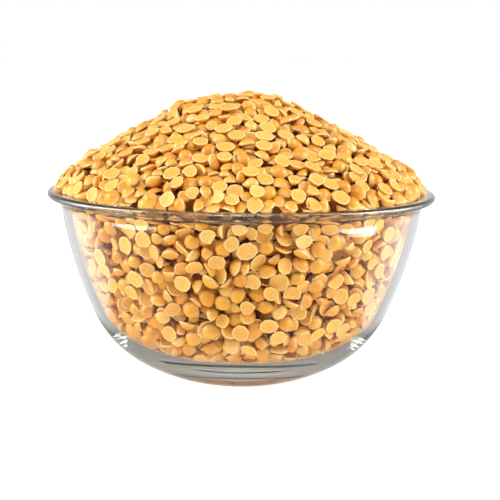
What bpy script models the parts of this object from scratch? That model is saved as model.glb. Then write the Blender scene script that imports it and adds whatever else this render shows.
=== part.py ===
"""A clear pressed-glass bowl heaped with dry split lentils.

Lengths are in metres. The origin is the middle of the bowl's underside and +Z is up.
The bowl is turned from one profile. The lentils are one solid: a turned core with
single lentils fused on wherever they show, on the heap and against the glass.
"""

import math

import bmesh
import bpy
import numpy as np
from mathutils import Matrix, Vector, noise

MM = 0.001
TURN = 2 * math.pi
GOLDEN_ANGLE = TURN * (1 - 2 / (1 + math.sqrt(5)))

# The glass bowl
LIP_RADIUS = 70 * MM
LIP_TOP = 68.4 * MM
LIP_EDGE_RADIUS = 1.3 * MM
COVE_RADIUS = 4.5 * MM
COVE_END_HEADING = math.radians(12)
FOOT_RADIUS = 21.5 * MM
FOOT_HEADING = math.radians(15)
# Each arc is its radius and the heading, from level, at which it ends.
OUTER_BOTTOM_ARC = (65 * MM, math.radians(30.5))
OUTER_SHOULDER_ARC = (39 * MM, math.radians(65))
OUTER_WALL_ARC_RADIUS = 147 * MM
INNER_BOTTOM = 5.9 * MM
INNER_BOTTOM_ARC = (165 * MM, math.radians(10))
INNER_SHOULDER_ARC = (29.8 * MM, math.radians(65))
INNER_WALL_ARC_RADIUS = 147 * MM
INNER_CORNER_RADIUS = 3 * MM
BOWL_STEPS = 54
LONG_ARC_PIECES = 2
TIGHT_ARC_PIECES = 4

# The heap's outline, above the middle of the lip's edge
HEAP_DATUM = LIP_TOP - LIP_EDGE_RADIUS
HEAP_RISE = 37.6 * MM
HEAP_SLOPE = 0.62
HEAP_TOP_ROUNDING = 22 * MM
HEAP_EDGE_START = 53 * MM
HEAP_EDGE_END = 69.5 * MM
HEAP_EDGE_POWER = 2.8
HEAP_LEAN = 0.8 * MM
HEAP_LEAN_RADIUS = 55 * MM

# The core under the lentils
CORE_BELOW_OUTLINE = 2.1 * MM
CORE_OFF_GLASS = 1.6 * MM
CORE_OVER_LIP = 0.9 * MM
CORE_EDGE_RADIUS = 65 * MM
CORE_DOME_RINGS = 8
CORE_STEPS = 40
CORE_BUMP = 0.7 * MM
CORE_BUMP_SIZE = 6 * MM

# One lentil: a thin round cake, flat on one side and narrower or pointed on the other
LENTIL_RADIUS = 2.7 * MM
LENTIL_RADIUS_SPREAD = 0.3 * MM
LENTIL_THICKNESS = 2.3 * MM
LENTIL_CROWN = 0.6
LENTIL_SIDES = 6
LENTIL_SUNK = 0.7 * MM
POINTED_THICKNESS = 2.5 * MM
POINTED_SHARE = 0.5
DOME_LENTILS = 300
WALL_LENTILS = 54
TILTED_SHARE = 0.3
SMALL_TILT = math.radians(18)
LARGE_TILT = math.radians(62)
WALL_TILT = math.radians(10)
GLASS_CLEARANCE = 0.45 * MM
LIP_SIDE_CLEARANCE = 0.4 * MM
MOST_MOVE = 3 * MM
MOVE_STEP = 0.25 * MM
SEED = 11
SHARP_ANGLE = math.radians(30)

GLASS_COLOUR = (0.86, 0.92, 0.91, 1)
GLASS_ROUGHNESS = 0.02
GLASS_IOR = 1.5
LENTIL_COLOUR = (0.83, 0.47, 0.13, 1)
LENTIL_ROUGHNESS = 0.6


def clear_scene():
    for old in list(bpy.data.objects):
        bpy.data.objects.remove(old)


def new_collection(name):
    made = bpy.data.collections.new(name)
    bpy.context.scene.collection.children.link(made)
    return made


def principled(name, colour, roughness, transmission=0.0, ior=1.45):
    material = bpy.data.materials.new(name)
    material.use_nodes = True
    material.diffuse_color = colour
    shader = material.node_tree.nodes["Principled BSDF"]
    shader.inputs["Base Color"].default_value = colour
    shader.inputs["Roughness"].default_value = roughness
    shader.inputs["Metallic"].default_value = 0.0
    shader.inputs["Transmission Weight"].default_value = transmission
    shader.inputs["IOR"].default_value = ior
    return material


def arc(start, heading, radius, end_heading, pieces):
    """Points after start along an arc that leaves at one heading and ends at another.

    A positive radius turns left, as the bowl's wall does going up, and a negative one turns right.
    """
    headings = np.linspace(heading, end_heading, pieces + 1)[1:]
    across = start[0] + radius * (np.sin(headings) - math.sin(heading))
    up = start[1] - radius * (np.cos(headings) - math.cos(heading))
    return list(zip(across.tolist(), up.tolist()))


def wall_end_heading(start, heading, wall_radius, turn_radius, turn_end, height):
    """Where a wall's arc gives way to a right turn, so that the turn ends at a given height.

    The turn's rise depends on the heading that is looked for, so the two are worked out in turn.
    """
    end = heading
    for _ in range(6):
        rise = height - turn_radius * (math.cos(turn_end) - math.cos(end)) - start[1]
        end = math.acos(math.cos(heading) - rise / wall_radius)
    return end


def outer_profile():
    """The bowl's outside from the middle of its foot out, up the wall and over the lip's edge."""
    points = [(0.0, 0.0), (FOOT_RADIUS, 0.0)]
    points += arc(points[-1], FOOT_HEADING, *OUTER_BOTTOM_ARC, LONG_ARC_PIECES)
    points += arc(points[-1], OUTER_BOTTOM_ARC[1], *OUTER_SHOULDER_ARC, TIGHT_ARC_PIECES)
    heading = OUTER_SHOULDER_ARC[1]
    under_lip = LIP_TOP - LIP_EDGE_RADIUS * (1 + math.cos(COVE_END_HEADING))
    wall_end = wall_end_heading(
        points[-1], heading, OUTER_WALL_ARC_RADIUS, COVE_RADIUS, COVE_END_HEADING, under_lip
    )
    points += arc(points[-1], heading, OUTER_WALL_ARC_RADIUS, wall_end, LONG_ARC_PIECES)
    points += arc(points[-1], wall_end, -COVE_RADIUS, COVE_END_HEADING, LONG_ARC_PIECES)
    edge_reach = LIP_EDGE_RADIUS * (1 - math.sin(COVE_END_HEADING))
    points.append((LIP_RADIUS - edge_reach, under_lip))
    points += arc(points[-1], COVE_END_HEADING, LIP_EDGE_RADIUS, math.pi, TIGHT_ARC_PIECES)
    return points


def inner_profile():
    """The bowl's inside from its middle out, up the wall and round onto the lip's flat top."""
    points = [(0.0, INNER_BOTTOM)]
    points += arc(points[-1], 0.0, *INNER_BOTTOM_ARC, 1)
    points += arc(points[-1], INNER_BOTTOM_ARC[1], *INNER_SHOULDER_ARC, TIGHT_ARC_PIECES)
    heading = INNER_SHOULDER_ARC[1]
    wall_end = wall_end_heading(
        points[-1], heading, INNER_WALL_ARC_RADIUS, INNER_CORNER_RADIUS, 0.0, LIP_TOP
    )
    points += arc(points[-1], heading, INNER_WALL_ARC_RADIUS, wall_end, LONG_ARC_PIECES)
    points += arc(points[-1], wall_end, -INNER_CORNER_RADIUS, 0.0, LONG_ARC_PIECES)
    return points


def profile_mesh(name, points):
    mesh = bpy.data.meshes.new(name)
    edges = [(i, i + 1) for i in range(len(points) - 1)]
    mesh.from_pydata([(across, 0.0, up) for across, up in points], edges, [])
    return mesh


def turned(name, points, steps, home):
    """An object whose profile, given from the axis round to the axis, is turned about Z."""
    obj = bpy.data.objects.new(name, profile_mesh(name, points))
    home.objects.link(obj)
    screw = obj.modifiers.new("Turn", "SCREW")
    screw.axis = "Z"
    screw.steps = steps
    screw.render_steps = steps
    screw.use_merge_vertices = True
    screw.merge_threshold = 0.01 * MM
    screw.use_smooth_shade = True
    return obj


def made_real(obj):
    """The object's mesh as its modifiers leave it, with the modifiers taken off."""
    bpy.context.view_layer.update()
    evaluated = obj.evaluated_get(bpy.context.evaluated_depsgraph_get())
    mesh = bpy.data.meshes.new_from_object(evaluated)
    obj.modifiers.clear()
    obj.data = mesh
    return mesh


def heap_height(across, bearing):
    """The heap's outline above HEAP_DATUM.

    It is a cone at the lentils' angle of repose with a rounded top, times a root that brings
    it down to the lip at its edge, and it stands a little fuller towards -X.
    """
    rounded = np.sqrt(across**2 + HEAP_TOP_ROUNDING**2) - HEAP_TOP_ROUNDING
    cone = HEAP_RISE - HEAP_SLOPE * rounded
    lean = -HEAP_LEAN * across / HEAP_LEAN_RADIUS * np.cos(bearing)
    past = np.clip((across - HEAP_EDGE_START) / (HEAP_EDGE_END - HEAP_EDGE_START), 0, 1)
    return (cone + lean) * np.sqrt(1 - past**HEAP_EDGE_POWER)


def moved_off(points, distance):
    """A profile moved to its left by a distance, each point along the bisector of its sides."""
    line = np.array(points)
    along = np.gradient(line, axis=0)
    along /= np.linalg.norm(along, axis=1)[:, None]
    return line + distance * np.column_stack([-along[:, 1], along[:, 0]])


def core_profile(glass):
    """The core's outline from the heap's top out, down past the lip and along the glass."""
    across = np.linspace(0, CORE_EDGE_RADIUS, CORE_DOME_RINGS + 1)
    up = HEAP_DATUM + heap_height(across, TURN / 4) - CORE_BELOW_OUTLINE
    dome = list(zip(across.tolist(), up.tolist()))
    under = moved_off(glass, CORE_OFF_GLASS)
    under[:, 0] = np.maximum(under[:, 0], 0)
    low = under[:, 1] < LIP_TOP - INNER_CORNER_RADIUS
    wall = [tuple(point) for point in under[low][::-1].tolist()]
    wall[-1] = (0.0, wall[-1][1])
    edge = (CORE_EDGE_RADIUS - CORE_OVER_LIP, LIP_TOP + CORE_OVER_LIP)
    neck = (wall[0][0] + CORE_OFF_GLASS, LIP_TOP + CORE_OVER_LIP)
    return dome + [edge, neck] + wall


def lean_of(across, bearing):
    """How much higher the heap's outline stands on a bearing than across the lean."""
    return float(heap_height(across, bearing) - heap_height(across, TURN / 4))


def roughen(mesh):
    """Leans the core as the heap leans, and moves its points inwards by smooth noise."""
    middle = Vector((0, 0, LIP_TOP / 2))
    for vertex in mesh.vertices:
        if abs(vertex.co.z - LIP_TOP) < 2 * CORE_OVER_LIP:
            continue
        if vertex.co.z > LIP_TOP:
            vertex.co.z += lean_of(vertex.co.xy.length, math.atan2(vertex.co.y, vertex.co.x))
        strength = 0.5 + 0.5 * noise.noise(vertex.co / CORE_BUMP_SIZE)
        inward = (middle - vertex.co).normalized()
        vertex.co += inward * (CORE_BUMP * strength)


class FreeSpace:
    """What lies above the bowl's inside and lip, for keeping the lentils off the glass."""

    def __init__(self, glass):
        self.line = np.array(glass + [(LIP_RADIUS, LIP_TOP)])

    def clearance(self, points):
        """How far each point is from the glass, negative inside it."""
        flat = np.column_stack([np.hypot(points[:, 0], points[:, 1]), points[:, 2]])
        starts, sides = self.line[:-1], np.diff(self.line, axis=0)
        offset = flat[:, None] - starts
        share = (offset * sides).sum(-1) / (sides**2).sum(-1)
        nearest = starts + np.clip(share, 0, 1)[..., None] * sides
        distance = np.linalg.norm(flat[:, None] - nearest, axis=-1).min(1)
        floor = np.interp(flat[:, 0], self.line[:, 0], self.line[:, 1])
        return np.where(flat[:, 1] > floor, distance, -distance)


def spread_over(line, count):
    """Places spread evenly over the surface that a profile line makes when it is turned.

    Each is its distance from the axis, its height, its bearing and the outward normal's slope.
    """
    line = np.array(line)
    sides = np.diff(line, axis=0)
    lengths = np.linalg.norm(sides, axis=1)
    areas = lengths * (line[:-1, 0] + line[1:, 0])
    total = np.concatenate([[0], np.cumsum(areas)])
    place = (np.arange(count) + 0.5) / count * total[-1]
    which = np.searchsorted(total, place) - 1
    share = (place - total[which]) / areas[which]
    spot = line[which] + share[:, None] * sides[which]
    normal = np.column_stack([-sides[:, 1], sides[:, 0]])[which]
    normal /= np.linalg.norm(normal, axis=1)[:, None]
    bearing = np.arange(count) * GOLDEN_ANGLE
    return spot, bearing, normal


def lentil_shape(random):
    """The lower radius, upper radius and thickness of one lentil, lying flat."""
    radius = LENTIL_RADIUS + random.uniform(-1, 1) * LENTIL_RADIUS_SPREAD
    if random.random() < POINTED_SHARE:
        return radius, 0.0, POINTED_THICKNESS
    if random.random() < 0.5:
        return radius, radius * LENTIL_CROWN, LENTIL_THICKNESS
    return radius * LENTIL_CROWN, radius, LENTIL_THICKNESS


def lentil_corners(lower, upper, thickness):
    """The corners of one lentil, its lower face centred at the origin, as an array."""
    angles = np.arange(LENTIL_SIDES) / LENTIL_SIDES * TURN
    ring = np.column_stack([np.cos(angles), np.sin(angles)])
    low = np.column_stack([ring * lower, np.zeros(LENTIL_SIDES)])
    high = np.column_stack([ring * upper, np.full(LENTIL_SIDES, thickness)])
    return np.concatenate([low, high])


def lentil_frame(random, centre, normal, tilt):
    """A frame standing on a surface at centre, turned at random and tilted by a given angle."""
    upright = normal.to_track_quat("Z", "Y").to_matrix().to_4x4()
    spin = Matrix.Rotation(random.uniform(0, TURN), 4, "Z")
    lean = Matrix.Rotation(tilt, 4, "X")
    return Matrix.Translation(centre) @ upright @ spin @ lean


def add_lentil(home, name, shape, frame):
    """A low truncated or pointed cone with few sides, in the frame it was given."""
    lower, upper, thickness = shape
    cone = bmesh.new()
    bmesh.ops.create_cone(
        cone,
        cap_ends=True,
        segments=LENTIL_SIDES,
        radius1=lower,
        radius2=upper,
        depth=thickness,
        matrix=frame @ Matrix.Translation((0, 0, thickness / 2)),
    )
    mesh = bpy.data.meshes.new(name)
    cone.to_mesh(mesh)
    cone.free()
    home.objects.link(bpy.data.objects.new(name, mesh))


def place_lentils(home, random, surface, free, tilts, on_wall):
    """Sets lentils on a turned surface, one for each tilt, and moves any too near the glass."""
    spots, bearings, normals = spread_over(surface, len(tilts))
    for index, tilt in enumerate(tilts):
        bearing = bearings[index]
        turn = Matrix.Rotation(bearing, 4, "Z")
        across, up = spots[index]
        if not on_wall:
            up += lean_of(across, bearing)
        normal = turn @ Vector((normals[index, 0], 0, normals[index, 1]))
        centre = turn @ Vector((across, 0, up)) - normal * LENTIL_SUNK
        frame = lentil_frame(random, centre, normal, tilt)
        shape = lentil_shape(random)
        corners = lentil_corners(*shape)
        way_out = -normal if on_wall else Vector((0, 0, 1))
        for move in np.arange(0, MOST_MOVE, MOVE_STEP):
            placed = Matrix.Translation(way_out * move) @ frame
            world = np.array([placed @ Vector(corner) for corner in corners])
            clear = free.clearance(world).min() >= GLASS_CLEARANCE
            if clear:
                break
        reach = np.hypot(world[:, 0], world[:, 1]).max()
        if clear and reach <= LIP_RADIUS - LIP_SIDE_CLEARANCE:
            add_lentil(home, f"lentil_{index}", shape, placed)


def join_lentils(core, loose):
    """Fuses the loose lentils onto the core and keeps the one body that they make."""
    union = core.modifiers.new("Fuse", "BOOLEAN")
    union.operation = "UNION"
    union.operand_type = "COLLECTION"
    union.collection = loose
    union.solver = "MANIFOLD"
    mesh = made_real(core)
    for grain in list(loose.objects):
        bpy.data.objects.remove(grain)
    bpy.data.collections.remove(loose)
    keep_largest_body(mesh)


def keep_largest_body(mesh):
    """Deletes every shell but the one with the most faces: loose scraps and sealed hollows."""
    shape = bmesh.new()
    shape.from_mesh(mesh)
    unseen = set(shape.faces)
    shells = []
    while unseen:
        shell, edge_of_search = set(), [unseen.pop()]
        while edge_of_search:
            face = edge_of_search.pop()
            shell.add(face)
            for edge in face.edges:
                for other in edge.link_faces:
                    if other in unseen:
                        unseen.discard(other)
                        edge_of_search.append(other)
        shells.append(shell)
    largest = max(shells, key=len)
    stray = [face for shell in shells if shell is not largest for face in shell]
    bmesh.ops.delete(shape, geom=stray, context="FACES")
    shape.to_mesh(mesh)
    shape.free()
    mesh.shade_smooth()
    mesh.set_sharp_from_angle(angle=SHARP_ANGLE)


def build_bowl(home):
    outside = outer_profile()
    inside = inner_profile()
    bowl = turned("bowl", inside + outside[::-1], BOWL_STEPS, home)
    bowl.data.materials.append(
        principled("clear glass", GLASS_COLOUR, GLASS_ROUGHNESS, transmission=1.0, ior=GLASS_IOR)
    )
    return bowl


def build_lentils(home):
    glass = inner_profile()
    outline = core_profile(glass)
    core = turned("lentils", outline, CORE_STEPS, home)
    mesh = made_real(core)
    roughen(mesh)

    random = np.random.default_rng(SEED)
    free = FreeSpace(glass)
    loose = new_collection("loose lentils")
    dome = outline[: CORE_DOME_RINGS + 2]
    dome_tilts = random.uniform(-SMALL_TILT, SMALL_TILT, DOME_LENTILS)
    steep = random.random(DOME_LENTILS) < TILTED_SHARE
    dome_tilts[steep] = random.uniform(SMALL_TILT, LARGE_TILT, steep.sum())
    place_lentils(loose, random, dome, free, dome_tilts, on_wall=False)
    wall = outline[CORE_DOME_RINGS + 3 :]
    wall_tilts = random.uniform(-WALL_TILT, WALL_TILT, WALL_LENTILS)
    place_lentils(loose, random, wall, free, wall_tilts, on_wall=True)
    join_lentils(core, loose)
    core.data.materials.clear()
    core.data.materials.append(principled("split lentils", LENTIL_COLOUR, LENTIL_ROUGHNESS))
    return core


clear_scene()
dish = new_collection("dish of dry lentils")
build_bowl(dish)
build_lentils(dish)
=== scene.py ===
"""The looks of a clear glass bowl heaped with dry split lentils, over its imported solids.

Lengths are in metres, +Z is up, and the origin is the middle of the bowl's underside.
The sections follow the dish as it is put together: the studio, the glass bowl, the
lentils that lie against the glass, the core that fills the middle, and the heap on top.
"""

import math

import bpy
import numpy as np
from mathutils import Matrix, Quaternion, Vector


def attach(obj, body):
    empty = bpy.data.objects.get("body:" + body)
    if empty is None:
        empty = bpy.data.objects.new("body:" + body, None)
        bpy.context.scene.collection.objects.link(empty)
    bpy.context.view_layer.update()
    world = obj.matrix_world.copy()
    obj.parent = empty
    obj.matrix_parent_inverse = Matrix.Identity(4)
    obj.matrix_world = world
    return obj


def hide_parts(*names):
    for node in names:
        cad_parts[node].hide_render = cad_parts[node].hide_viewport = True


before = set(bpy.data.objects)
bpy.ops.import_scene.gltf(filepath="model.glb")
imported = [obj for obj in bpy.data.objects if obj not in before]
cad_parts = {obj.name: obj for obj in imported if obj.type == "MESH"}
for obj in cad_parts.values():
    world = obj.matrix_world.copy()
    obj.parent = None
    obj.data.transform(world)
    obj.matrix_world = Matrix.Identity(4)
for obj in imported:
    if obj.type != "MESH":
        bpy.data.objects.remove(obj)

MM = 0.001
TURN = 2 * math.pi
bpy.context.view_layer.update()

# The camera. A long lens stands in front of the bowl and a little above its lip, as for a
# catalogue picture, and is aimed at the point that falls in the middle of the picture.
CAMERA_DISTANCE = 600 * MM
CAMERA_RISE = math.radians(6.5)
CAMERA_DATUM = 69 * MM
CAMERA_ROLL = math.radians(0.85)
PICTURE_MIDDLE = Vector((3.4 * MM, 0, 46.15 * MM))
LENS_MM = 118.9
SENSOR_MM = 36


def aimed(obj, place, target):
    """Puts a camera or lamp at a place, looking at a target."""
    obj.location = place
    obj.rotation_mode = "QUATERNION"
    obj.rotation_quaternion = (target - place).to_track_quat("-Z", "Y")
    bpy.context.scene.collection.objects.link(obj)


lens = bpy.data.cameras.new("camera")
lens.lens = LENS_MM
lens.sensor_width = SENSOR_MM
camera = bpy.data.objects.new("camera", lens)
camera_place = Vector(
    (
        0,
        -CAMERA_DISTANCE * math.cos(CAMERA_RISE),
        CAMERA_DATUM + CAMERA_DISTANCE * math.sin(CAMERA_RISE),
    )
)
aimed(camera, camera_place, PICTURE_MIDDLE)
camera.rotation_quaternion @= Quaternion((0, 0, 1), CAMERA_ROLL)
bpy.context.scene.camera = camera

# The studio. The bowl stands on a white sweep in a white tent that is open towards the
# camera, where the room is dark. Softboxes light it from both sides and from above, and white
# cards at the sides and behind, lower than the bowl, show as reflections in its glass.
TENT_WHITE = (1.0, 1.0, 1.0, 1)
TENT_STRENGTH = 1.0
TENT_SIDE = (0.75, 0.75, 0.74, 1)
ROOM_DARK = (0.07, 0.07, 0.07, 1)
ROOM_STOPS = [(0.20, ROOM_DARK), (0.34, TENT_SIDE), (0.95, TENT_SIDE), (0.99, TENT_WHITE)]
TABLE_SHADE = (0.44, 0.40, 0.36, 1)
CEILING_SHADE = (0.36, 0.39, 0.40, 1)
LEVEL_STOPS = [
    (0.22, TABLE_SHADE),
    (0.36, TENT_WHITE),
    (0.64, TENT_WHITE),
    (0.80, CEILING_SHADE),
]
FLOOR_SIDE = 6.0
FLOOR_COLOUR = (0.9, 0.9, 0.9, 1)
FLOOR_ROUGHNESS = 0.6
FLOOR_GLOW = 0.7
# Each panel is its turn from the camera's side, its rise, its width and height, its radiance
# against the tent's, and how far it is turned about its own middle.
PANELS = {
    "left_softbox": (math.radians(-80), math.radians(24), 0.40, 0.40, 12.5, 0.0),
    "right_softbox": (math.radians(80), math.radians(24), 0.40, 0.40, 12.5, 0.0),
    "top_softbox": (math.radians(-8), math.radians(54), 0.36, 0.32, 9.6, 0.0),
    "left_low_card": (math.radians(-74), math.radians(-21.5), 0.50, 0.03, 9.0, math.radians(-6)),
    "right_low_card": (math.radians(80), math.radians(-21.5), 0.42, 0.03, 9.0, math.radians(6)),
    "left_back_card": (math.radians(-120), math.radians(-20), 0.42, 0.30, 0.8, 0.0),
    "right_back_card": (math.radians(120), math.radians(-22), 0.42, 0.34, 0.8, 0.0),
}
PANEL_DISTANCE = 0.85
LIT_POINT = Vector((0, 0, 60 * MM))


class Wire:
    """A value on its way between shader nodes. Arithmetic on it adds Math nodes."""

    def __init__(self, finish, socket):
        self.finish = finish
        self.socket = socket

    def maths(self, operation, first, second):
        """The result of a Math node on two wires or numbers."""
        return self.finish.add("ShaderNodeMath", {"operation": operation}, {0: first, 1: second})

    def __add__(self, other):
        return self.maths("ADD", self, other)

    def __sub__(self, other):
        return self.maths("SUBTRACT", self, other)

    def __mul__(self, other):
        return self.maths("MULTIPLY", self, other)

    def __radd__(self, other):
        return self.maths("ADD", other, self)

    def __rsub__(self, other):
        return self.maths("SUBTRACT", other, self)

    def __rmul__(self, other):
        return self.maths("MULTIPLY", other, self)


class Finish:
    """The node tree of a material or of the world."""

    def __init__(self, owner):
        self.owner = owner
        owner.use_nodes = True
        self.tree = owner.node_tree
        self.tree.nodes.clear()

    def add(self, kind, settings, sockets, out=0):
        """A new node with its settings, then the values or wires of its sockets."""
        node = self.tree.nodes.new(kind)
        for name, value in settings.items():
            if name == "stops":
                stops = node.color_ramp.elements
                while len(stops) < len(value):
                    stops.new(1.0)
                for stop, (place, colour) in zip(stops, value):
                    stop.position = place
                    stop.color = colour
            else:
                setattr(node, name, value)
        for name, value in sockets.items():
            if isinstance(value, Wire):
                self.tree.links.new(value.socket, node.inputs[name])
            else:
                node.inputs[name].default_value = value
        return Wire(self, node.outputs[out])

    def show(self, kind, surface, volume=None):
        """Ends the tree in an output node of the given kind."""
        node = self.tree.nodes.new(kind)
        self.tree.links.new(surface.socket, node.inputs["Surface"])
        if volume:
            self.tree.links.new(volume.socket, node.inputs["Volume"])

    def mixed(self, factor, first, second):
        """A colour between two others, by a wire or a number from 0 to 1."""
        settings = {"data_type": "RGBA"}
        return self.add("ShaderNodeMix", settings, {0: factor, 6: first, 7: second}, out=2)


sky = Finish(bpy.context.scene.world or bpy.data.worlds.new("studio"))
bpy.context.scene.world = sky.owner
heading = sky.add("ShaderNodeTexCoord", {}, {}, out="Generated")
depth = sky.add("ShaderNodeSeparateXYZ", {}, {0: heading}, out="Y")
rise = sky.add("ShaderNodeSeparateXYZ", {}, {0: heading}, out="Z")
walls = sky.add("ShaderNodeValToRGB", {"stops": ROOM_STOPS}, {0: depth * 0.5 + 0.5})
levels = sky.add("ShaderNodeValToRGB", {"stops": LEVEL_STOPS}, {0: rise * 0.5 + 0.5})
shaded = {"data_type": "RGBA", "blend_type": "MULTIPLY"}
tent = sky.add("ShaderNodeMix", shaded, {0: 1.0, 6: walls, 7: levels}, out=2)
light = sky.add("ShaderNodeBackground", {}, {"Color": tent, "Strength": TENT_STRENGTH})
sky.show("ShaderNodeOutputWorld", light)

floor_mesh = bpy.data.meshes.new("floor")
half = FLOOR_SIDE / 2
floor_mesh.from_pydata(
    [(-half, -half, 0), (half, -half, 0), (half, half, 0), (-half, half, 0)], [], [(0, 1, 2, 3)]
)
floor = bpy.data.objects.new("floor", floor_mesh)
bpy.context.scene.collection.objects.link(floor)
sweep = Finish(bpy.data.materials.new("white sweep"))
sweep_shader = sweep.add(
    "ShaderNodeBsdfPrincipled",
    {},
    {
        "Base Color": FLOOR_COLOUR,
        "Roughness": FLOOR_ROUGHNESS,
        "Emission Color": TENT_WHITE,
        "Emission Strength": FLOOR_GLOW,
    },
)
sweep.show("ShaderNodeOutputMaterial", sweep_shader)
floor_mesh.materials.append(sweep.owner)
floor.visible_glossy = False
floor.visible_transmission = False

for name, (turn, up, width, height, radiance, lean) in PANELS.items():
    panel = bpy.data.lights.new(name, "AREA")
    panel.shape = "RECTANGLE"
    panel.size = width
    panel.size_y = height
    panel.energy = radiance * math.pi * width * height
    lamp = bpy.data.objects.new(name, panel)
    lamp.visible_camera = False
    level = PANEL_DISTANCE * math.cos(up)
    place = LIT_POINT + Vector(
        (level * math.sin(turn), -level * math.cos(turn), PANEL_DISTANCE * math.sin(up))
    )
    aimed(lamp, place, LIT_POINT)
    lamp.rotation_quaternion @= Quaternion((0, 0, 1), lean)

# Light is thrown to and fro many times inside the thick base before it leaves the glass.
BOUNCES = 24
paths = bpy.context.scene.cycles
paths.max_bounces = BOUNCES
paths.glossy_bounces = BOUNCES
paths.transmission_bounces = BOUNCES

bpy.context.scene.view_settings.view_transform = "Standard"

# The glass bowl. It is pressed clear soda glass with a thick foot, a rounded shoulder and a
# flat lip that stands out over a small cove. It is one turned shell, fire-polished all over.
LIP_RADIUS = 70 * MM
LIP_TOP = 68.4 * MM
LIP_EDGE_RADIUS = 1.3 * MM
COVE_RADIUS = 4.5 * MM
COVE_END_HEADING = math.radians(12)
FOOT_RADIUS = 21.5 * MM
FOOT_HEADING = math.radians(15)
# Each arc is its radius and the heading, from level, at which it ends.
OUTER_BOTTOM_ARC = (65 * MM, math.radians(30.5))
OUTER_SHOULDER_ARC = (39 * MM, math.radians(65))
OUTER_WALL_ARC_RADIUS = 147 * MM
INNER_BOTTOM = 5.9 * MM
INNER_BOTTOM_ARC = (165 * MM, math.radians(10))
INNER_SHOULDER_ARC = (29.8 * MM, math.radians(65))
INNER_WALL_ARC_RADIUS = 147 * MM
INNER_CORNER_RADIUS = 3 * MM
ARC_PIECES = 14
HEADING_ROUNDS = 6
BOWL_STEPS = 240
GLASS_TINT = (0.97, 0.98, 0.98, 1)
FOOT_TINT = (0.92, 0.79, 0.68, 1)
LIP_TINT = (0.86, 0.84, 0.78, 1)
# The glass's tint at shares of the bowl's height: warmer and darker towards its foot, and darker
# and warmer at its lip as painted shade for the dark room seen in it.
TINT_STOPS = [(0.03, FOOT_TINT), (0.15, GLASS_TINT), (0.93, GLASS_TINT), (0.955, LIP_TINT)]
GLASS_SHADOW_TINT = (0.97, 0.97, 0.97, 1)
# Painted shade: a little grey diffuse is mixed into the glass near the lip's top, so it shows as a
# thin grey band where the clear glass shows the dark room.
LIP_GREY = (0.17, 0.18, 0.165, 1)
LIP_GREY_ROUGHNESS = 0.25
LIP_GREY_FROM = 65.5 * MM
LIP_GREY_FULL = 66.1 * MM
LIP_GREY_SHARE = 0.12
GLASS_IOR = 1.5
# What is lost in each metre of glass, which shows where it is seen edge on.
GLASS_BODY = (0.28, 0.30, 0.24, 1)
GLASS_BODY_DENSITY = 9.0
# Shallow level waves from the press, strongest at the foot.
WAVE_TOP = 24 * MM
WAVE_FLATNESS = (0.10, 0.10, 1.0)
WAVE_SCALE = 420.0
WAVE_DEPTH = 0.03 * MM


def arc(start, heading, radius, end_heading):
    """Points after start along an arc that leaves at one heading and ends at another.

    Each is start + radius * (sin h - sin heading, cos heading - cos h) for even steps of h.
    """
    headings = np.linspace(heading, end_heading, ARC_PIECES + 1)[1:]
    across = start[0] + radius * (np.sin(headings) - math.sin(heading))
    up = start[1] - radius * (np.cos(headings) - math.cos(heading))
    return list(zip(across.tolist(), up.tolist()))


def wall_end_heading(start, heading, wall_radius, turn_radius, turn_end, height):
    """Where a wall's arc gives way to a right turn, so that the turn ends at a given height."""
    end = heading
    for _ in range(HEADING_ROUNDS):
        rise = height - turn_radius * (math.cos(turn_end) - math.cos(end)) - start[1]
        end = math.acos(math.cos(heading) - rise / wall_radius)
    return end


def outer_profile():
    """The bowl's outside from the middle of its foot out, up the wall and over the lip's edge."""
    points = [(0.0, 0.0), (FOOT_RADIUS, 0.0)]
    points += arc(points[-1], FOOT_HEADING, *OUTER_BOTTOM_ARC)
    points += arc(points[-1], OUTER_BOTTOM_ARC[1], *OUTER_SHOULDER_ARC)
    heading = OUTER_SHOULDER_ARC[1]
    under_lip = LIP_TOP - LIP_EDGE_RADIUS * (1 + math.cos(COVE_END_HEADING))
    wall_end = wall_end_heading(
        points[-1], heading, OUTER_WALL_ARC_RADIUS, COVE_RADIUS, COVE_END_HEADING, under_lip
    )
    points += arc(points[-1], heading, OUTER_WALL_ARC_RADIUS, wall_end)
    points += arc(points[-1], wall_end, -COVE_RADIUS, COVE_END_HEADING)
    edge_reach = LIP_EDGE_RADIUS * (1 - math.sin(COVE_END_HEADING))
    points.append((LIP_RADIUS - edge_reach, under_lip))
    points += arc(points[-1], COVE_END_HEADING, LIP_EDGE_RADIUS, math.pi)
    return points


def inner_profile():
    """The bowl's inside from its middle out, up the wall and round onto the lip's flat top."""
    points = [(0.0, INNER_BOTTOM)]
    points += arc(points[-1], 0.0, *INNER_BOTTOM_ARC)
    points += arc(points[-1], INNER_BOTTOM_ARC[1], *INNER_SHOULDER_ARC)
    heading = INNER_SHOULDER_ARC[1]
    wall_end = wall_end_heading(
        points[-1], heading, INNER_WALL_ARC_RADIUS, INNER_CORNER_RADIUS, 0.0, LIP_TOP
    )
    points += arc(points[-1], heading, INNER_WALL_ARC_RADIUS, wall_end)
    points += arc(points[-1], wall_end, -INNER_CORNER_RADIUS, 0.0)
    return points


def mesh_piece(name, points, *face_groups):
    """An object from an array of points and arrays of faces with equal numbers of corners."""
    mesh = bpy.data.meshes.new(name)
    corners = np.concatenate([faces.ravel() for faces in face_groups])
    sizes = np.concatenate([np.full(len(faces), faces.shape[1]) for faces in face_groups])
    mesh.vertices.add(len(points))
    mesh.vertices.foreach_set("co", points.astype(np.float32).ravel())
    mesh.loops.add(len(corners))
    mesh.loops.foreach_set("vertex_index", corners.astype(np.int32))
    mesh.polygons.add(len(sizes))
    mesh.polygons.foreach_set("loop_start", (np.cumsum(sizes) - sizes).astype(np.int32))
    mesh.update(calc_edges=True)
    mesh.shade_smooth()
    piece = bpy.data.objects.new(name, mesh)
    bpy.context.scene.collection.objects.link(piece)
    return piece


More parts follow.
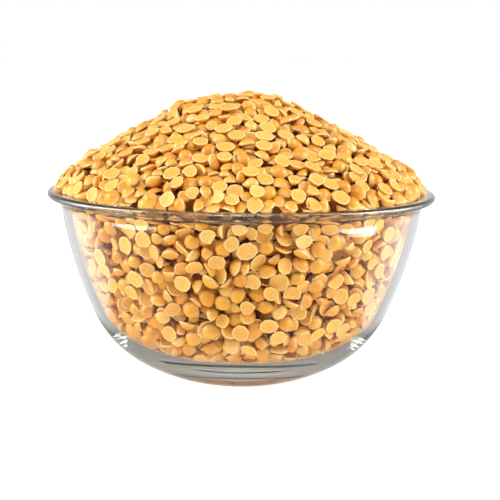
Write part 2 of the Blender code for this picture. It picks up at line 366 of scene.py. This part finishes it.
def turned_piece(name, profile, steps):
    """A surface of revolution: x = r cos a, y = r sin a, z = the profile's height.

    The profile runs from the axis round to the axis with the solid on its right, and its
    two ends become single points.
    """
    profile = np.array(profile)
    rings = profile[1:-1]
    bearing = np.arange(steps) / steps * TURN
    round_points = np.stack(
        [
            rings[:, :1] * np.cos(bearing),
            rings[:, :1] * np.sin(bearing),
            np.broadcast_to(rings[:, 1:], (len(rings), steps)),
        ],
        axis=-1,
    ).reshape(-1, 3)
    ends = [[0, 0, profile[0, 1]], [0, 0, profile[-1, 1]]]
    here = np.arange(steps)
    after = np.roll(here, -1)
    row = np.arange(len(rings) - 1)[:, None] * steps
    quads = np.stack([row + here, row + steps + here, row + steps + after, row + after], axis=-1)
    first, last = len(round_points), len(round_points) + 1
    last_row = (len(rings) - 1) * steps
    fan = np.column_stack([np.full(steps, first), here, after])
    closing = np.column_stack([np.full(steps, last), last_row + after, last_row + here])
    points = np.concatenate([round_points, ends])
    return mesh_piece(name, points, quads.reshape(-1, 4), np.concatenate([fan, closing]))


glass = Finish(bpy.data.materials.new("clear glass"))
glass_spot = glass.add("ShaderNodeTexCoord", {}, {}, out="Object")
glass_height = glass.add("ShaderNodeSeparateXYZ", {}, {0: glass_spot}, out="Z")
low_down = glass.add("ShaderNodeMapRange", {}, {0: glass_height, 1: WAVE_TOP, 2: 0.0})
flattened = glass.add(
    "ShaderNodeVectorMath", {"operation": "MULTIPLY"}, {0: glass_spot, 1: WAVE_FLATNESS}
)
waves = glass.add(
    "ShaderNodeTexNoise", {}, {"Vector": flattened, "Scale": WAVE_SCALE, "Detail": 1.0}
)
press_waves = glass.add(
    "ShaderNodeBump", {}, {"Strength": 1.0, "Distance": WAVE_DEPTH, "Height": waves * low_down}
)
# Painted shade: the lip's darker tint stands in for the dark room seen through it.
glass_tint = glass.add(
    "ShaderNodeValToRGB", {"stops": TINT_STOPS}, {0: glass_height * (1 / LIP_TOP)}
)
glass_shader = glass.add(
    "ShaderNodeBsdfPrincipled",
    {},
    {
        "Base Color": glass_tint,
        "Roughness": 0.0,
        "IOR": GLASS_IOR,
        "Transmission Weight": 1.0,
        "Normal": press_waves,
    },
)
# Painted shade: a grey diffuse mixed into the glass near the lip's top.
lip_painted_shade = glass.add(
    "ShaderNodeBsdfPrincipled", {}, {"Base Color": LIP_GREY, "Roughness": LIP_GREY_ROUGHNESS}
)
lip_span = {0: glass_height, 1: LIP_GREY_FROM, 2: LIP_GREY_FULL, 4: LIP_GREY_SHARE}
lip_share = glass.add("ShaderNodeMapRange", {}, lip_span)
glass_shader = glass.add("ShaderNodeMixShader", {}, {0: lip_share, 1: glass_shader, 2: lip_painted_shade})
# Light reaches the lentils straight through the glass, with no bright specks behind it.
straight = glass.add("ShaderNodeBsdfTransparent", {}, {"Color": GLASS_SHADOW_TINT})
shadow_ray = glass.add("ShaderNodeLightPath", {}, {}, out="Is Shadow Ray")
diffuse_ray = glass.add("ShaderNodeLightPath", {}, {}, out="Is Diffuse Ray")
for_shadows = glass.add("ShaderNodeMixShader", {}, {0: shadow_ray, 1: glass_shader, 2: straight})
for_light = glass.add("ShaderNodeMixShader", {}, {0: diffuse_ray, 1: for_shadows, 2: straight})
glass_body = glass.add(
    "ShaderNodeVolumeAbsorption", {}, {"Color": GLASS_BODY, "Density": GLASS_BODY_DENSITY}
)
glass.show("ShaderNodeOutputMaterial", for_light, glass_body)

bowl = turned_piece("glass_bowl", inner_profile() + outer_profile()[::-1], BOWL_STEPS)
bowl.data.materials.append(glass.owner)
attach(bowl, "root")
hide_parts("bowl")

# Lentils against the glass. Each is half of a hulled lentil, a flat cream face under a
# golden dome. They were poured in dry, so they lie against the wall wherever they fell.
LENTIL_RADIUS = 2.85 * MM
LENTIL_RADIUS_SPREAD = 0.3 * MM
# Thickness is a share of the mean radius.
LENTIL_THICKNESS = 0.80
LENTIL_THICKNESS_SPREAD = 0.10
LENTIL_THICKNESS_LIMITS = (0.6, 1.1)
LENTIL_MIDDLE = 0.45
LENTIL_OVAL = 0.11
LENTIL_WOBBLE = 0.035
CHIPPED_SHARE = 0.12
CHIP_PLACES = (-0.1, 0.75)
NO_CHIP = 2.0
# One lentil's section from the top of its dome round to the middle of its flat face: the
# distance from its axis as a share of its radius, and the height as a share of its thickness.
LENTIL_SECTION = np.array(
    [(0, 1), (0.5, 0.83), (0.81, 0.46), (1, 0.05), (0.94, 0), (0.8, 0.05), (0, 0.08)]
)
LENTIL_SIDES = 9
DOME_POINTS = 4
# How far each point of the section counts as flat face, and as the pale rim round it: partly the
# lentil's own pale edge and partly a painted highlight.
FACE_MASK = np.array([0, 0, 0, 0.25, 0.75, 1, 1])
RIM_AND_HIGHLIGHT_MASK = np.array([0, 0, 0.15, 1, 1, 0.1, 0])
BED_CELL = 0.3 * MM
LEAST_CELLS = 6
# Points on each lentil for marking where it lies, and fewer for trying a place.
DENSE_POINTS = 560
TOUCH_POINTS = 44
GOLDEN_SHARE = 0.618034
# Lentils are laid as if a little smaller than they are, so that they lie snugly.
NEST = 0.94
WIDE_TRIES = 40
NEAR_TRIES = 16
NEAR_ROUNDS = 2
LOOSE_TRIES = 8
NEAR_SHIFT = 0.8 * MM
NEAR_TURN = 0.16
# The pouring ends after this many lentils in a row have found no room.
GIVE_UP_AFTER = 90
GLASS_LENTILS = 2300
GLASS_LOOSE_SHARE = 0.4
# Tilts are pairs of the share of the lentils and their largest tilt in degrees.
GLASS_TILTS = ((0.42, 18), (0.32, 50), (0.26, 88))
GLASS_TOP = 66.8 * MM
GLASS_MOST_DEPTH = 7.5 * MM
GLASS_CLEARANCE = 0.2 * MM
GLASS_START_DEPTH = 6 * MM
PROFILE_STEP = 0.1 * MM
TABLE_STEP = 0.25 * MM
SEED = 23

random = np.random.default_rng(SEED)


def unit(vectors):
    """The vectors at length one."""
    return vectors / np.linalg.norm(vectors, axis=-1, keepdims=True)


class Lentils:
    """The sizes of a batch of lentils: an array entry for each, all drawn at random."""

    def __init__(self, count):
        self.radius = LENTIL_RADIUS + random.normal(size=count) * LENTIL_RADIUS_SPREAD
        share = LENTIL_THICKNESS + random.normal(size=count) * LENTIL_THICKNESS_SPREAD
        self.thickness = np.clip(share, *LENTIL_THICKNESS_LIMITS) * LENTIL_RADIUS
        self.oval = random.uniform(0, LENTIL_OVAL, count)
        self.wobble = random.normal(size=(count, 2)) * LENTIL_WOBBLE
        self.wobble_turn = random.uniform(0, TURN, (count, 2))
        chipped = random.random(count) < CHIPPED_SHARE
        self.chip = np.where(chipped, random.uniform(*CHIP_PLACES, count), NO_CHIP)
        self.shade = random.random(count)

    def surface(self, which, across, turn, height):
        """Points of the lentils chosen by which, from shares of radius and thickness.

        The outline is radius * (1 + oval cos 2a + two small waves of 3 and 5 round it),
        and what a chipped one has beyond its chip is pressed back to a straight edge.
        """
        turn = turn[None, :]
        outline = (
            1
            + self.oval[which, None] * np.cos(2 * turn)
            + self.wobble[which, :1] * np.cos(3 * turn + self.wobble_turn[which, :1])
            + self.wobble[which, 1:] * np.cos(5 * turn + self.wobble_turn[which, 1:])
        )
        reach = across[None, :] * outline
        x = np.minimum(reach * np.cos(turn), self.chip[which, None])
        y = reach * np.sin(turn)
        z = (height[None, :] - LENTIL_MIDDLE) * self.thickness[which, None]
        radius = self.radius[which, None]
        return np.stack([x * radius, y * radius, np.broadcast_to(z, x.shape)], axis=-1)

    def scattered(self, which, count):
        """Points spread evenly over lentils' domes and flat faces, in a sunflower's order."""
        order = (np.arange(count) + 0.5) / count
        across = np.tile(np.sqrt(order), 2)
        turn = np.tile(np.arange(count) * TURN * GOLDEN_SHARE, 2)
        dome_line = LENTIL_SECTION[:DOME_POINTS]
        dome = np.interp(across[:count], dome_line[:, 0], dome_line[:, 1])
        height = np.concatenate([dome, np.zeros(count)])
        return self.surface(which, across, turn, height)


class Bed:
    """The ground that falling lentils come to rest on, as heights in rings of small cells.

    The rings lie one cell apart along a turned outline, and each has as many cells as fit
    round it. Each kind of bed says how points lie on it, which way is up from it, where to
    try lentils, and how well a try did: the lowest score wins, up to most_score.
    """

    def __init__(self, ring_radii, ring_heights):
        self.counts = np.maximum(np.round(TURN * ring_radii / BED_CELL), LEAST_CELLS).astype(int)
        self.starts = np.cumsum(self.counts) - self.counts
        self.heights = np.repeat(ring_heights, self.counts)

    def cells(self, along, bearing):
        """The cell of each point, by its distance along the outline and its bearing."""
        ring = np.clip((along / BED_CELL).astype(int), 0, len(self.counts) - 1)
        step = ((bearing / TURN) % 1 * self.counts[ring]).astype(int)
        return self.starts[ring] + np.minimum(step, self.counts[ring] - 1)

    def gap_under(self, points):
        """The least height of each group of points above the ground."""
        along, bearing, height = self.place_of(points)
        return (height - self.heights[self.cells(along, bearing)]).min(axis=-1)

    def cover(self, points):
        """Raises the ground to these points."""
        along, bearing, height = self.place_of(points)
        np.maximum.at(self.heights, self.cells(along, bearing), height)

    def settle(self, centres, axes, touch):
        """Moves each try straight down, or out to the glass, until it rests on the ground."""
        for _ in range(self.settle_rounds):
            points = np.einsum("kij,pj->kpi", axes, touch) + centres[:, None]
            centres = centres - self.gap_under(points)[:, None] * self.upright(centres)
        points = np.einsum("kij,pj->kpi", axes, touch) + centres[:, None]
        return centres, self.score(centres, points)


def spun(axis):
    """Axes for each try, with the dome along axis and any turn about it, as columns."""
    across = random.normal(size=axis.shape)
    across = unit(across - (across * axis).sum(-1, keepdims=True) * axis)
    return np.stack([across, np.cross(axis, across), axis], axis=-1)


def leaning(normals, tilt):
    """Directions that lean from the normals by a tilt, towards random sides."""
    side = random.normal(size=normals.shape)
    side = unit(side - (side * normals).sum(-1, keepdims=True) * normals)
    return math.cos(tilt) * normals + math.sin(tilt) * side


def nudged(axes, count):
    """Axes near those given: each direction is moved by a small random vector and squared up."""
    up = unit(axes[:, 2] + NEAR_TURN * random.normal(size=(count, 3)))
    across = axes[:, 0] + NEAR_TURN * random.normal(size=(count, 3))
    across = unit(across - (across * up).sum(-1, keepdims=True) * up)
    return np.stack([across, np.cross(up, across), up], axis=-1)


def drawn_tilt(tilts):
    """A tilt from a list of (share of the lentils, largest tilt in degrees)."""
    draw = random.random()
    least = 0.0
    for share, most in tilts:
        if draw < share:
            break
        draw -= share
        least = most
    return math.radians(random.uniform(least, most))


def pour(bed, lentils, tilts, loose_share):
    """Lays the lentils one by one, each in the lowest of many random places and positions.

    Each starts from the best of WIDE_TRIES places, then moves and turns a little for
    NEAR_ROUNDS rounds. Loose ones stay in the best of a few places, as they fell. It
    returns the centres and axes, and which lentils found room.
    """
    centres, turns, laid = [], [], []
    refused = 0
    for which in range(len(lentils.radius)):
        touch = lentils.scattered(np.array([which]), TOUCH_POINTS)[0] * NEST
        loose = random.random() < loose_share
        spots = bed.spots(LOOSE_TRIES if loose else WIDE_TRIES)
        side = random.choice([-1.0, 1.0])
        axes = spun(leaning(bed.facing(spots), drawn_tilt(tilts)) * side)
        tried, scores = bed.settle(spots, axes, touch)
        for _ in range(0 if loose else NEAR_ROUNDS):
            best = scores.argmin()
            centre, axis = tried[best], axes[best]
            shifts = random.normal(size=(NEAR_TRIES, 3)) * NEAR_SHIFT
            near_axes = np.concatenate([axis[None], nudged(axis, NEAR_TRIES)])
            near, near_scores = bed.settle(
                np.concatenate([centre[None], centre + shifts]), near_axes, touch
            )
            tried, axes, scores = near, near_axes, near_scores
        best = scores.argmin()
        if scores[best] > bed.most_score:
            refused += 1
            if refused > GIVE_UP_AFTER:
                break
            continue
        refused = 0
        shape = lentils.scattered(np.array([which]), DENSE_POINTS)[0] * NEST
        bed.cover(shape @ axes[best].T + tried[best])
        centres.append(tried[best])
        turns.append(axes[best])
        laid.append(which)
    return np.array(centres), np.array(turns), np.array(laid)


def lentil_piece(name, lentils, centres, turns, laid):
    """One joined mesh of all the laid lentils, each from LENTIL_SECTION turned about its axis."""
    around = np.arange(LENTIL_SIDES) / LENTIL_SIDES * TURN
    rings = LENTIL_SECTION[1:-1]
    ring_turn = np.tile(around, len(rings))
    across = np.concatenate([np.repeat(rings[:, 0], LENTIL_SIDES), [0, 0]])
    height = np.concatenate([np.repeat(rings[:, 1], LENTIL_SIDES), LENTIL_SECTION[[0, -1], 1]])
    turn = np.concatenate([ring_turn, [0, 0]])
    local = lentils.surface(laid, across, turn, height)
    points = np.einsum("nij,npj->npi", turns, local) + centres[:, None]
    here = np.arange(LENTIL_SIDES)
    after = np.roll(here, -1)
    row = np.arange(len(rings) - 1)[:, None] * LENTIL_SIDES
    low = row + LENTIL_SIDES
    quads = np.stack([row + here, low + here, low + after, row + after], axis=-1).reshape(-1, 4)
    top = np.full(LENTIL_SIDES, len(rings) * LENTIL_SIDES)
    last = (len(rings) - 1) * LENTIL_SIDES
    fans = np.concatenate(
        [np.column_stack([top, here, after]), np.column_stack([top + 1, last + after, last + here])]
    )
    offsets = (np.arange(len(laid)) * local.shape[1])[:, None, None]
    piece = mesh_piece(
        name,
        points.reshape(-1, 3),
        (quads[None] + offsets).reshape(-1, 4),
        (fans[None] + offsets).reshape(-1, 3),
    )
    mask = np.concatenate([np.repeat(FACE_MASK[1:-1], LENTIL_SIDES), FACE_MASK[[0, -1]]])
    rim_and_highlight = np.concatenate([np.repeat(RIM_AND_HIGHLIGHT_MASK[1:-1], LENTIL_SIDES), RIM_AND_HIGHLIGHT_MASK[[0, -1]]])
    shape = points.shape[:2]
    marks = np.stack(
        [
            np.broadcast_to(lentils.shade[laid, None], shape),
            np.broadcast_to(mask, shape),
            np.broadcast_to(rim_and_highlight, shape),
            np.ones(shape),
        ],
        axis=-1,
    )
    layer = piece.data.color_attributes.new("lentil_marks", "FLOAT_COLOR", "POINT")
    layer.data.foreach_set("color", marks.astype(np.float32).ravel())
    return piece


class GlassBed(Bed):
    """The inside of the glass. A point's height is its distance in from the glass.

    A table over distance from the axis and height gives the nearest point of the profile.
    """

    settle_rounds = 2
    most_score = GLASS_MOST_DEPTH

    def __init__(self, profile):
        corners = np.array(profile)
        run = np.concatenate([[0], np.cumsum(np.linalg.norm(np.diff(corners, axis=0), axis=1))])
        along = np.arange(0, run[-1], PROFILE_STEP)
        self.along = along
        self.line = np.column_stack([np.interp(along, run, corners[:, i]) for i in (0, 1)])
        self.forward = unit(np.gradient(self.line, axis=0))
        self.inward = np.column_stack([-self.forward[:, 1], self.forward[:, 0]])
        across = np.arange(0, LIP_RADIUS, TABLE_STEP)
        rows = [
            ((across[:, None] - self.line[:, 0]) ** 2 + (up - self.line[:, 1]) ** 2).argmin(1)
            for up in np.arange(0, LIP_TOP, TABLE_STEP)
        ]
        self.table = np.array(rows)
        ring = np.arange(0, run[-1], BED_CELL) + BED_CELL / 2
        radii = np.interp(ring, along, self.line[:, 0])
        super().__init__(radii, np.full(len(ring), GLASS_CLEARANCE))
        self.room = np.cumsum(self.line[:, 0] * (self.line[:, 1] < GLASS_TOP))

    def nearest(self, across, up):
        """The profile point nearest to each place, from the table."""
        row = np.clip((up / TABLE_STEP + 0.5).astype(int), 0, self.table.shape[0] - 1)
        column = np.clip((across / TABLE_STEP + 0.5).astype(int), 0, self.table.shape[1] - 1)
        return self.table[row, column]

    def place_of(self, points):
        """Each point's distance along the glass, its bearing and its distance in from it."""
        across = np.hypot(points[..., 0], points[..., 1])
        bearing = np.arctan2(points[..., 1], points[..., 0])
        found = self.nearest(across, points[..., 2])
        offset = np.stack([across, points[..., 2]], axis=-1) - self.line[found]
        along = self.along[found] + (offset * self.forward[found]).sum(-1)
        return along, bearing, (offset * self.inward[found]).sum(-1)

    def upright(self, centres):
        """The direction in from the glass at each centre."""
        across = np.hypot(centres[:, 0], centres[:, 1])
        inward = self.inward[self.nearest(across, centres[:, 2])]
        outwards = centres[:, :2] / np.maximum(across, 1e-9)[:, None]
        return np.column_stack([outwards * inward[:, :1], inward[:, 1]])

    def facing(self, centres):
        """Lentils lie flat on the glass unless they tilt."""
        return self.upright(centres)

    def spots(self, count):
        """Random places a little in from the glass, spread evenly over its surface."""
        pick = np.searchsorted(self.room, random.random(count) * self.room[-1])
        bearing = random.uniform(0, TURN, count)
        spot = self.line[pick] + self.inward[pick] * GLASS_START_DEPTH
        across, up = spot.T
        return np.column_stack([across * np.cos(bearing), across * np.sin(bearing), up])

    def score(self, centres, points):
        """How far in from the glass the centre lies; above the top doesn't count."""
        depth = self.place_of(centres)[2]
        return np.where(points[..., 2].max(axis=1) > GLASS_TOP, 1.0, depth)


DOME_COLOUR = (0.87, 0.42, 0.027, 1)
DOME_DEEP_COLOUR = (0.72, 0.25, 0.005, 1)
FACE_COLOUR = (0.90, 0.47, 0.060, 1)
FACE_DEEP_COLOUR = (0.80, 0.34, 0.016, 1)
# The rim colour is partly the lentils' own pale edge and partly a painted highlight.
RIM_AND_HIGHLIGHT_COLOUR = (1.0, 0.77, 0.34, 1)
GRAIN_COLOUR = (0.98, 0.67, 0.25, 1)
MOTTLE_SCALE = 900.0
GRAIN_SCALE = 1800.0
# How far each colour goes towards its deep one, by the lentil's own shade and by the mottle,
# less a cut that keeps most of them light.
DOME_BY_SHADE = 0.8
DOME_BY_MOTTLE = 0.5
FACE_BY_SHADE = 0.7
FACE_BY_MOTTLE = 0.6
PULL_CUT = 0.15
# Starch shows as pale grain, more on the flat face, and a few lentils are pale all over.
STARCH_FROM = 0.50
STARCH_FULL = 0.70
STARCH_MOST = 0.7
STARCH_ALL_OVER = 0.4
STARCH_ON_FACE = 0.5
PALE_SHARE = 0.16
PALEST = 0.5
RIM_AND_HIGHLIGHT_STRENGTH = 0.65
RELIEF_STRENGTH = 0.4
RELIEF_DEPTH = 0.15 * MM
GRAIN_RELIEF = 0.6
DOME_ROUGHNESS = 0.36
FACE_ROUGHER = 0.16
LENTIL_SPECULAR = 0.6

pulse = Finish(bpy.data.materials.new("split lentils"))
marks = pulse.add("ShaderNodeAttribute", {"attribute_name": "lentil_marks"}, {}, out="Color")
shade = pulse.add("ShaderNodeSeparateColor", {}, {0: marks}, out="Red")
face = pulse.add("ShaderNodeSeparateColor", {}, {0: marks}, out="Green")
rim_and_highlight = pulse.add("ShaderNodeSeparateColor", {}, {0: marks}, out="Blue")
spot = pulse.add("ShaderNodeTexCoord", {}, {}, out="Object")
mottle = pulse.add(
    "ShaderNodeTexNoise",
    {},
    {"Vector": spot, "Scale": MOTTLE_SCALE, "Detail": 2.0, "Roughness": 0.6},
)
grain = pulse.add(
    "ShaderNodeTexNoise",
    {},
    {"Vector": spot, "Scale": GRAIN_SCALE, "Detail": 2.0, "Roughness": 0.7},
)
starch_span = {0: grain, 1: STARCH_FROM, 2: STARCH_FULL, 4: STARCH_MOST}
starch = pulse.add("ShaderNodeMapRange", {}, starch_span)
paleness = pulse.add("ShaderNodeMapRange", {}, {0: shade, 1: PALE_SHARE, 2: 0.0, 4: PALEST})
dome_pull = shade * DOME_BY_SHADE + mottle * DOME_BY_MOTTLE - PULL_CUT
dome_colour = pulse.mixed(dome_pull, DOME_COLOUR, DOME_DEEP_COLOUR)
face_pull = shade * FACE_BY_SHADE + mottle * FACE_BY_MOTTLE - PULL_CUT
face_colour = pulse.mixed(face_pull, FACE_COLOUR, FACE_DEEP_COLOUR)
body_colour = pulse.mixed(face, dome_colour, face_colour)
starch_share = starch * (face * STARCH_ON_FACE + STARCH_ALL_OVER) + paleness
grained_colour = pulse.mixed(starch_share, body_colour, GRAIN_COLOUR)
# The pale rim mixed in here is partly the lentil's own edge and partly a painted highlight.
whole_colour = pulse.mixed(rim_and_highlight * RIM_AND_HIGHLIGHT_STRENGTH, grained_colour, RIM_AND_HIGHLIGHT_COLOUR)
relief = pulse.add(
    "ShaderNodeBump",
    {},
    {
        "Strength": RELIEF_STRENGTH,
        "Distance": RELIEF_DEPTH,
        "Height": mottle + grain * GRAIN_RELIEF,
    },
)
pulse_shader = pulse.add(
    "ShaderNodeBsdfPrincipled",
    {},
    {
        "Base Color": whole_colour,
        "Roughness": DOME_ROUGHNESS + face * FACE_ROUGHER,
        "Specular IOR Level": LENTIL_SPECULAR,
        "Normal": relief,
    },
)
pulse.show("ShaderNodeOutputMaterial", pulse_shader)

glass_bed = GlassBed(inner_profile())
glass_lentils = Lentils(GLASS_LENTILS)
glass_places = pour(glass_bed, glass_lentils, GLASS_TILTS, GLASS_LOOSE_SHARE)
against_glass = lentil_piece("lentils_at_glass", glass_lentils, *glass_places)
against_glass.data.materials.append(pulse.owner)
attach(against_glass, "root")
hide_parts("lentils")

# The core. The lentils in the middle of the dish are never seen, so one turned body stands for
# them, inside those at the glass and under the heap. It is coloured in painted shade, as dark as
# the gaps between lentils.
HEAP_DATUM = LIP_TOP - LIP_EDGE_RADIUS
HEAP_RISE = 37.6 * MM
HEAP_SLOPE = 0.62
HEAP_TOP_ROUNDING = 22 * MM
HEAP_EDGE_START = 53 * MM
HEAP_EDGE_END = 69.5 * MM
HEAP_EDGE_POWER = 2.8
HEAP_LEAN = 0.8 * MM
HEAP_LEAN_RADIUS = 55 * MM
CORE_UNDER_HEAP = 6.2 * MM
CORE_OFF_GLASS = 6.5 * MM
CORE_EDGE_RADIUS = 60 * MM
CORE_TOP_POINTS = 24
CORE_WALL_TOP = LIP_TOP - 6 * MM
CORE_WALL_STRIDE = 40
CORE_NECK_HEIGHT = LIP_TOP + 1 * MM
CORE_STEPS = 96
# Painted shade: lentils as they look deep in the gaps, not their own golden colour.
CORE_PAINTED_SHADE = (0.26, 0.07, 0.002, 1)
CORE_ROUGHNESS = 0.9
LUMP_SCALE = 350.0
LUMP_DEPTH = 1 * MM


def heap_height(across, bearing):
    """The heap's outline above HEAP_DATUM.

    It is a cone at the lentils' angle of repose with a rounded top, times a root that brings
    it down to the lip at its edge, and it stands a little fuller towards -X.
    """
    rounded = np.sqrt(across**2 + HEAP_TOP_ROUNDING**2) - HEAP_TOP_ROUNDING
    cone = HEAP_RISE - HEAP_SLOPE * rounded
    lean = -HEAP_LEAN * across / HEAP_LEAN_RADIUS * np.cos(bearing)
    past = np.clip((across - HEAP_EDGE_START) / (HEAP_EDGE_END - HEAP_EDGE_START), 0, 1)
    return (cone + lean) * np.sqrt(1 - past**HEAP_EDGE_POWER)


def core_profile():
    """From under the heap's top out and down to the glass, then along it to the bottom."""
    across = np.linspace(0, CORE_EDGE_RADIUS, CORE_TOP_POINTS)
    up = HEAP_DATUM + heap_height(across, TURN / 4) - CORE_UNDER_HEAP
    line = glass_bed.line + glass_bed.inward * CORE_OFF_GLASS
    wall = line[(line[:, 1] < CORE_WALL_TOP) & (line[:, 0] > 0)][::-CORE_WALL_STRIDE]
    neck = [(wall[0, 0], CORE_NECK_HEIGHT)]
    dome = np.column_stack([across, up])
    return np.concatenate([dome, neck, wall, [(0, INNER_BOTTOM + CORE_OFF_GLASS)]])


middle = Finish(bpy.data.materials.new("lentils in the middle"))
middle_spot = middle.add("ShaderNodeTexCoord", {}, {}, out="Object")
lumps = middle.add(
    "ShaderNodeTexNoise", {}, {"Vector": middle_spot, "Scale": LUMP_SCALE, "Detail": 2.0}
)
lump_relief = middle.add("ShaderNodeBump", {}, {"Distance": LUMP_DEPTH, "Height": lumps})
middle_shader = middle.add(
    "ShaderNodeBsdfPrincipled",
    {},
    {"Base Color": CORE_PAINTED_SHADE, "Roughness": CORE_ROUGHNESS, "Normal": lump_relief},
)
middle.show("ShaderNodeOutputMaterial", middle_shader)

core = turned_piece("lentil_core", core_profile(), CORE_STEPS)
core.data.materials.append(middle.owner)
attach(core, "root")
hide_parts("lentils")

# The heap. The last lentils were poured on in a cone that spills onto the lip all round and
# ends a little inside its edge. Each rests on the core, the lip or the lentils below it.
HEAP_LENTILS = 2100
HEAP_LOOSE_SHARE = 0.5
HEAP_TILTS = ((0.40, 24), (0.36, 52), (0.24, 88))
# Lentils lie between along the slope and level: this is the weight of level against the slope.
HEAP_LEVEL = 5.0
HEAP_LOOK_ROUND = 6
HEAP_START_HEIGHT = 120 * MM
HEAP_REACH = 67.7 * MM
HEAP_CEILING = 104.1 * MM
# Mounds and hollows in the heap: the place of each, its width and its height.
HEAP_LUMPS = [
    (-62 * MM, 0, 5 * MM, -2.6 * MM),
    (-53 * MM, -4 * MM, 4 * MM, 1.0 * MM),
    (-47 * MM, 0, 5 * MM, -2.0 * MM),
    (-23 * MM, 0, 6 * MM, 1.6 * MM),
    (-5 * MM, 0, 4 * MM, -1.0 * MM),
    (13 * MM, 0, 5 * MM, 0.9 * MM),
    (34 * MM, 0, 5 * MM, -1.2 * MM),
    (43 * MM, 0, 4 * MM, 1.6 * MM),
    (52 * MM, 0, 4 * MM, -1.4 * MM),
    (62 * MM, 0, 5 * MM, 1.8 * MM),
    (-20 * MM, -40 * MM, 8 * MM, 1.4 * MM),
    (18 * MM, -28 * MM, 7 * MM, -1.4 * MM),
    (30 * MM, 38 * MM, 8 * MM, 1.6 * MM),
    (-12 * MM, 30 * MM, 7 * MM, -1.5 * MM),
]


def poured_height(across, bearing):
    """The heap's outline with its mounds and hollows.

    Each adds its height * exp(-(distance from its place / its width) squared).
    """
    up = heap_height(across, bearing)
    for x, y, width, height in HEAP_LUMPS:
        away = (across * np.cos(bearing) - x) ** 2 + (across * np.sin(bearing) - y) ** 2
        up = up + height * np.exp(-away / width**2)
    return up


class HeapBed(Bed):
    """The ground under the heap: the core, the lentils at the glass and the lip's flat top."""

    settle_rounds = 1
    most_score = 0.0

    def __init__(self, outline):
        ring = np.arange(0, LIP_RADIUS, BED_CELL) + BED_CELL / 2
        core_top = HEAP_DATUM + heap_height(ring, TURN / 4) - CORE_UNDER_HEAP
        lip = np.array(outline)
        lip_top = np.interp(ring, lip[-ARC_PIECES * 2:, 0], lip[-ARC_PIECES * 2:, 1])
        on_core = np.where(ring < CORE_EDGE_RADIUS, core_top, 0)
        on_lip = np.where(ring > lip[-ARC_PIECES, 0], lip_top, 0)
        super().__init__(ring, np.maximum(on_core, on_lip))

    def place_of(self, points):
        """Each point's distance from the axis, its bearing and its height."""
        across = np.hypot(points[..., 0], points[..., 1])
        return across, np.arctan2(points[..., 1], points[..., 0]), points[..., 2]

    def facing(self, centres):
        """Between the heap's outward normal, from a small difference, and straight up."""
        across = np.hypot(centres[:, 0], centres[:, 1])
        bearing = np.arctan2(centres[:, 1], centres[:, 0])
        ahead = heap_height(np.minimum(across + MM, HEAP_EDGE_START), bearing)
        here = heap_height(np.minimum(across, HEAP_EDGE_START), bearing)
        fall = (here - ahead) / MM
        outwards = centres[:, :2] / np.maximum(across, 1e-9)[:, None]
        normal = unit(np.column_stack([outwards * fall[:, None], np.ones(len(centres))]))
        return unit(normal + [0, 0, HEAP_LEVEL])

    def upright(self, centres):
        """Lentils fall straight down."""
        return np.broadcast_to([0.0, 0.0, 1.0], centres.shape)

    def spots(self, count):
        """Those of HEAP_LOOK_ROUND times as many places where the outline is least filled."""
        across = HEAP_REACH * np.sqrt(random.random(count * HEAP_LOOK_ROUND))
        bearing = random.uniform(0, TURN, len(across))
        depth = poured_height(across, bearing) - self.heights[self.cells(across, bearing)]
        deepest = depth.argsort()[-count:]
        across, bearing = across[deepest], bearing[deepest]
        up = np.full(count, HEAP_START_HEIGHT)
        return np.column_stack([across * np.cos(bearing), across * np.sin(bearing), up])

    def score(self, centres, points):
        """The height under the outline, from the highest point; outside the lip doesn't count."""
        across, bearing, height = self.place_of(points)
        top = HEAP_DATUM + poured_height(across, bearing)
        over = (height - np.minimum(top, HEAP_CEILING)).max(axis=1)
        return np.where(across.max(axis=1) > HEAP_REACH, 1.0, over)


heap_bed = HeapBed(inner_profile())
centres, turns, laid = glass_places
shapes = glass_lentils.scattered(laid, DENSE_POINTS)
heap_bed.cover(np.einsum("nij,npj->npi", turns, shapes) + centres[:, None])
heap_lentils = Lentils(HEAP_LENTILS)
heap_places = pour(heap_bed, heap_lentils, HEAP_TILTS, HEAP_LOOSE_SHARE)
heap = lentil_piece("lentils_in_heap", heap_lentils, *heap_places)
heap.data.materials.append(pulse.owner)
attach(heap, "root")
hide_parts("lentils")
